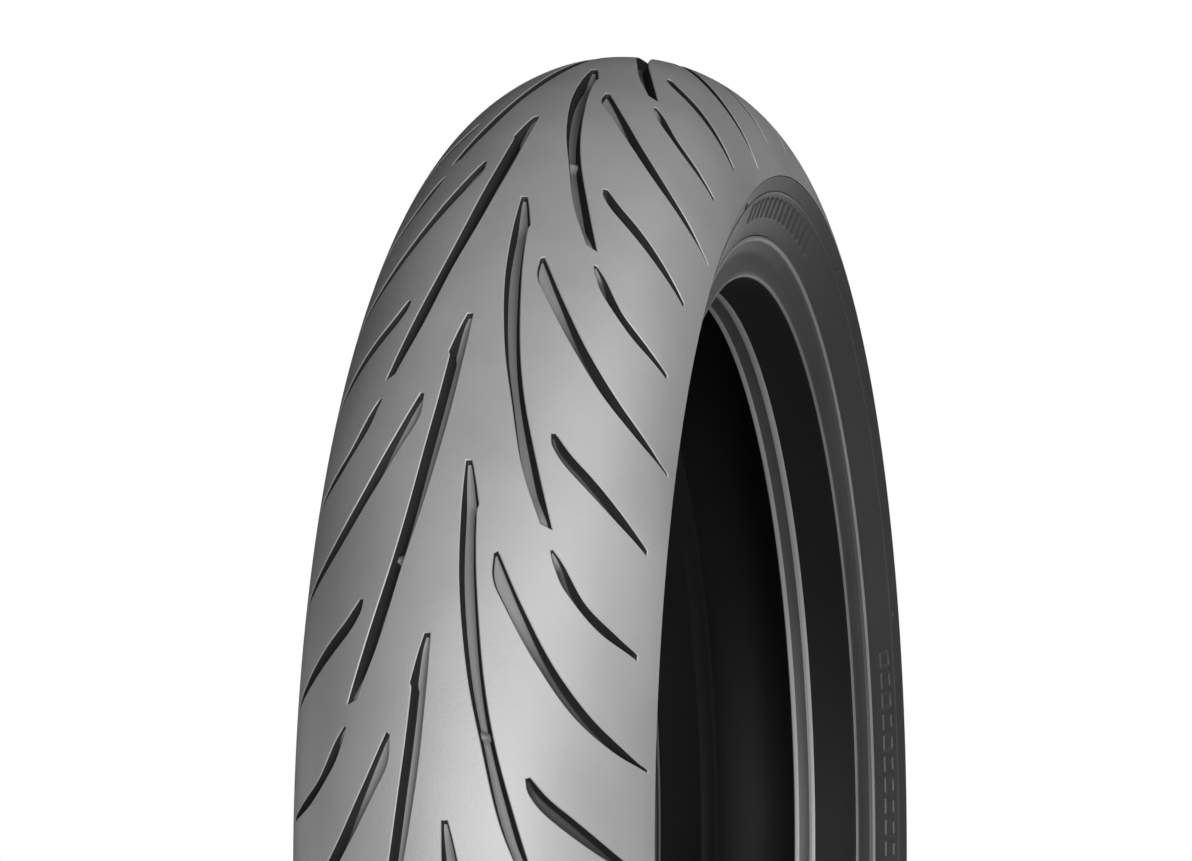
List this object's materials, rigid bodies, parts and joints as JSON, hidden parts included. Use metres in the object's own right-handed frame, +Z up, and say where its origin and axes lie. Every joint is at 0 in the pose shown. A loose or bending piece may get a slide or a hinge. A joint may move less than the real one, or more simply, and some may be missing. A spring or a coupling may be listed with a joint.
{
  "type": "motorcycle tire",
  "caption": "Radial motorcycle front tire with a rounded, directional grooved tread, plies, belts, sidewalls and two wire beads, open in the middle for a 17 inch wheel.",
  "frame": {"origin": "centre of the tire, on the wheel's axle line and midway between the two beads", "axes": "+Y along the wheel's axle, +Z up, +X towards the side where the tread's groove tips point up"},
  "size_m": [0.6, 0.12, 0.6],
  "materials": {
    "tread": "satin, lightly worn grey rubber",
    "sidewall": "satin moulded black rubber",
    "gum": "matte",
    "liner": "smooth satin",
    "textile_cord": "rubberised cord fabric",
    "steel_cord": "brass-plated steel cord",
    "bead_wire": "bronze-coated steel wire"
  },
  "bodies": {
    "root": {"tread_cap": "tread", "tread_base": "gum", "belt_steel_zero_degree": "steel_cord", "belt_breaker": "textile_cord", "belt_edge_strip_left": "gum", "belt_edge_strip_right": "gum", "carcass_ply_outer": "textile_cord", "carcass_ply_inner": "textile_cord", "inner_liner": "liner", "sidewall_left": "sidewall", "sidewall_right": "sidewall", "rim_strip_left": "sidewall", "rim_strip_right": "sidewall", "chafer_left": "textile_cord", "chafer_right": "textile_cord", "bead_core_left": "bead_wire", "bead_core_right": "bead_wire", "bead_core_wrap_left": "textile_cord", "bead_core_wrap_right": "textile_cord", "bead_filler_left": "gum", "bead_filler_right": "gum"}
  },
  "joints": []
}
